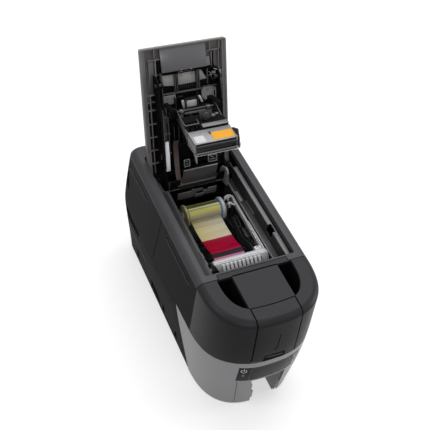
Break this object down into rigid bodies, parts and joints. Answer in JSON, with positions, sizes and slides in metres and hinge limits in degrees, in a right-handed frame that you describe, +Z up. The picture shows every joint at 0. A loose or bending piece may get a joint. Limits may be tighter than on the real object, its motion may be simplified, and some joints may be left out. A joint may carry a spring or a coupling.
{
  "type": "id card printer",
  "caption": "Desktop ID card printer with a D-shaped nose, its hinged top cover open over the ribbon cartridge, display band and output notch in front.",
  "frame": {"origin": "middle of the footprint on the surface it stands on, with the cover open", "axes": "+X to the operator's right, +Y from the nose to the rear, +Z up"},
  "size_m": [0.175, 0.4116, 0.3808],
  "materials": {
    "deck_black": "fine textured charcoal",
    "side_black": "fine textured black",
    "silver": "satin silver grey",
    "bracket_grey": "satin mid grey",
    "liner_black": "matte black",
    "glossy_black": "glossy",
    "rubber": "matte",
    "steel": "plain",
    "board_green": "solder mask",
    "cartridge_grey": "satin light grey",
    "ribbon": "film",
    "film": "film",
    "roller_rubber": "matte",
    "cleaning_blue": "tacky",
    "gear_white": "moulded",
    "lid_grey": "satin charcoal",
    "head_silver": "satin",
    "head_black": "matte",
    "motor_grey": "satin",
    "cable_brown": "film"
  },
  "bodies": {
    "base": {"base_tray": "side_black", "top_deck": "deck_black", "left_front_panel": "side_black", "left_rear_panel": "side_black", "right_front_panel": "side_black", "right_rear_panel": "side_black", "rear_panel": "side_black", "front_cover": "deck_black", "front_bezel": "silver", "output_bracket": "bracket_grey", "left_liner": "liner_black", "right_liner": "liner_black", "front_liner": "liner_black", "rear_liner": "liner_black", "rubber_feet": "rubber", "base_screws": "steel", "display_window": "glossy_black", "display_board": "board_green", "chassis_left": "steel", "chassis_right": "steel", "card_hopper": "liner_black", "card_guide": "liner_black", "exit_chute": "liner_black", "drive_belt": "rubber", "drive_motors": "motor_grey", "main_board": "board_green", "rear_sockets": "steel", "hinge_pins": "steel"},
    "lid": {"lid_shell": "lid_grey", "lid_frame": "head_black", "lid_inner_panel": "lid_grey", "lid_guard": "lid_grey", "head_shaft": "steel", "head_springs": "steel", "head_cable": "cable_brown"},
    "head": {"head_carrier": "head_silver", "printhead": "head_black"},
    "latch_left": {"latch_pin_left": "steel"},
    "latch_right": {"latch_pin_right": "steel"},
    "door": {"hopper_door": "deck_black", "hopper_door_top": "deck_black"},
    "power_key": {"power_button": "glossy_black"},
    "user_key": {"user_button": "glossy_black"},
    "weight": {"card_weight": "bracket_grey"},
    "pick": {"pick_roller": "roller_rubber"},
    "feed": {"feed_roller": "roller_rubber"},
    "cleaning": {"cleaning_roller": "cleaning_blue"},
    "transport": {"transport_roller": "roller_rubber"},
    "platen": {"platen_roller": "roller_rubber"},
    "rear_transport": {"rear_roller": "roller_rubber"},
    "exit": {"exit_roller": "roller_rubber"},
    "pulley": {"motor_pulley": "steel"},
    "supply_drive": {"supply_drive_gear": "gear_white"},
    "takeup_drive": {"takeup_drive_gear": "gear_white"},
    "cartridge": {"cartridge_frame": "cartridge_grey", "ribbon_film": "film"},
    "supply": {"supply_spool": "cartridge_grey", "supply_roll": "ribbon"},
    "takeup": {"takeup_spool": "cartridge_grey"}
  },
  "joints": [
    {"name": "cover_hinge", "type": "hinge", "parent": "base", "child": "lid", "pos_m": [0, 0.10987, 0.1934], "axis": [1, 0, 0], "range_deg": [0, 111.8], "deforming": ["ribbon_film"]},
    {"name": "head_float", "type": "hinge", "parent": "lid", "child": "head", "pos_m": [0, 0.13456, 0.30738], "axis": [1, 0, 0], "range_deg": [-3, 0], "stiffness_Nm_per_rad": 3, "springref_deg": 17.19},
    {"name": "latch_right_slide", "type": "slide", "parent": "lid", "child": "latch_right", "axis": [1, 0, 0], "range_m": [0, 0.006]},
    {"name": "latch_left_slide", "type": "slide", "parent": "lid", "child": "latch_left", "axis": [-1, 0, 0], "range_m": [0, 0.006]},
    {"name": "hopper_door_hinge", "type": "hinge", "parent": "base", "child": "door", "pos_m": [0, -0.19693, 0.141], "axis": [1, 0, 0], "range_deg": [0, 50]},
    {"name": "power_press", "type": "slide", "parent": "base", "child": "power_key", "axis": [0, 1, 0], "range_m": [0, 0.0008], "stiffness_N_per_m": 1500, "springref_m": -0.0006},
    {"name": "user_press", "type": "slide", "parent": "base", "child": "user_key", "axis": [0, 1, 0], "range_m": [0, 0.0008], "stiffness_N_per_m": 1500, "springref_m": -0.0006},
    {"name": "card_weight_lift", "type": "slide", "parent": "base", "child": "weight", "axis": [0, 0, 1], "range_m": [0, 0.08]},
    {"name": "transport_spin", "type": "hinge", "parent": "base", "child": "transport", "pos_m": [0, 0.00087, 0.092], "axis": [1, 0, 0], "continuous": true},
    {"name": "feed_spin", "type": "hinge", "parent": "base", "child": "feed", "pos_m": [0, -0.08313, 0.092], "axis": [1, 0, 0], "continuous": true},
    {"name": "platen_spin", "type": "hinge", "parent": "base", "child": "platen", "pos_m": [0, 0.03687, 0.0904], "axis": [1, 0, 0], "continuous": true},
    {"name": "rear_spin", "type": "hinge", "parent": "base", "child": "rear_transport", "pos_m": [0, 0.08887, 0.092], "axis": [1, 0, 0], "continuous": true},
    {"name": "exit_spin", "type": "hinge", "parent": "base", "child": "exit", "pos_m": [0, -0.14313, 0.07852], "axis": [1, 0, 0], "continuous": true},
    {"name": "pulley_spin", "type": "hinge", "parent": "base", "child": "pulley", "pos_m": [0, 0.01887, 0.0695], "axis": [1, 0, 0], "continuous": true},
    {"name": "pick_spin", "type": "hinge", "parent": "base", "child": "pick", "pos_m": [0, -0.12313, 0.1023], "axis": [1, 0, 0], "continuous": true},
    {"name": "cleaning_spin", "type": "hinge", "parent": "base", "child": "cleaning", "pos_m": [0, -0.02713, 0.1053], "axis": [1, 0, 0], "continuous": true},
    {"name": "cartridge_lift", "type": "slide", "parent": "base", "child": "cartridge", "axis": [0, 0, 1], "range_m": [0, 0.09]},
    {"name": "supply_spin", "type": "hinge", "parent": "cartridge", "child": "supply", "pos_m": [0, 0.05587, 0.1606], "axis": [1, 0, 0], "continuous": true},
    {"name": "takeup_spin", "type": "hinge", "parent": "cartridge", "child": "takeup", "pos_m": [0, -0.05113, 0.15], "axis": [1, 0, 0], "continuous": true},
    {"name": "supply_drive_spin", "type": "hinge", "parent": "base", "child": "supply_drive", "pos_m": [-0.041, 0.05587, 0.1403], "axis": [1, 0, 0], "continuous": true},
    {"name": "takeup_drive_spin", "type": "hinge", "parent": "base", "child": "takeup_drive", "pos_m": [-0.041, -0.05113, 0.1297], "axis": [1, 0, 0], "continuous": true}
  ],
  "couplings": [
    {"joint": "feed_spin", "follows": "platen_spin", "ratio": 1.2286},
    {"joint": "transport_spin", "follows": "platen_spin", "ratio": 1.2286},
    {"joint": "rear_spin", "follows": "platen_spin", "ratio": 1.2286},
    {"joint": "exit_spin", "follows": "platen_spin", "ratio": 1.2286},
    {"joint": "pulley_spin", "follows": "platen_spin", "ratio": 1.2286},
    {"joint": "supply_drive_spin", "follows": "supply_spin", "ratio": -1.5},
    {"joint": "takeup_drive_spin", "follows": "takeup_spin", "ratio": -1.5},
    {"joint": "latch_left_slide", "follows": "latch_right_slide", "ratio": 1}
  ]
}
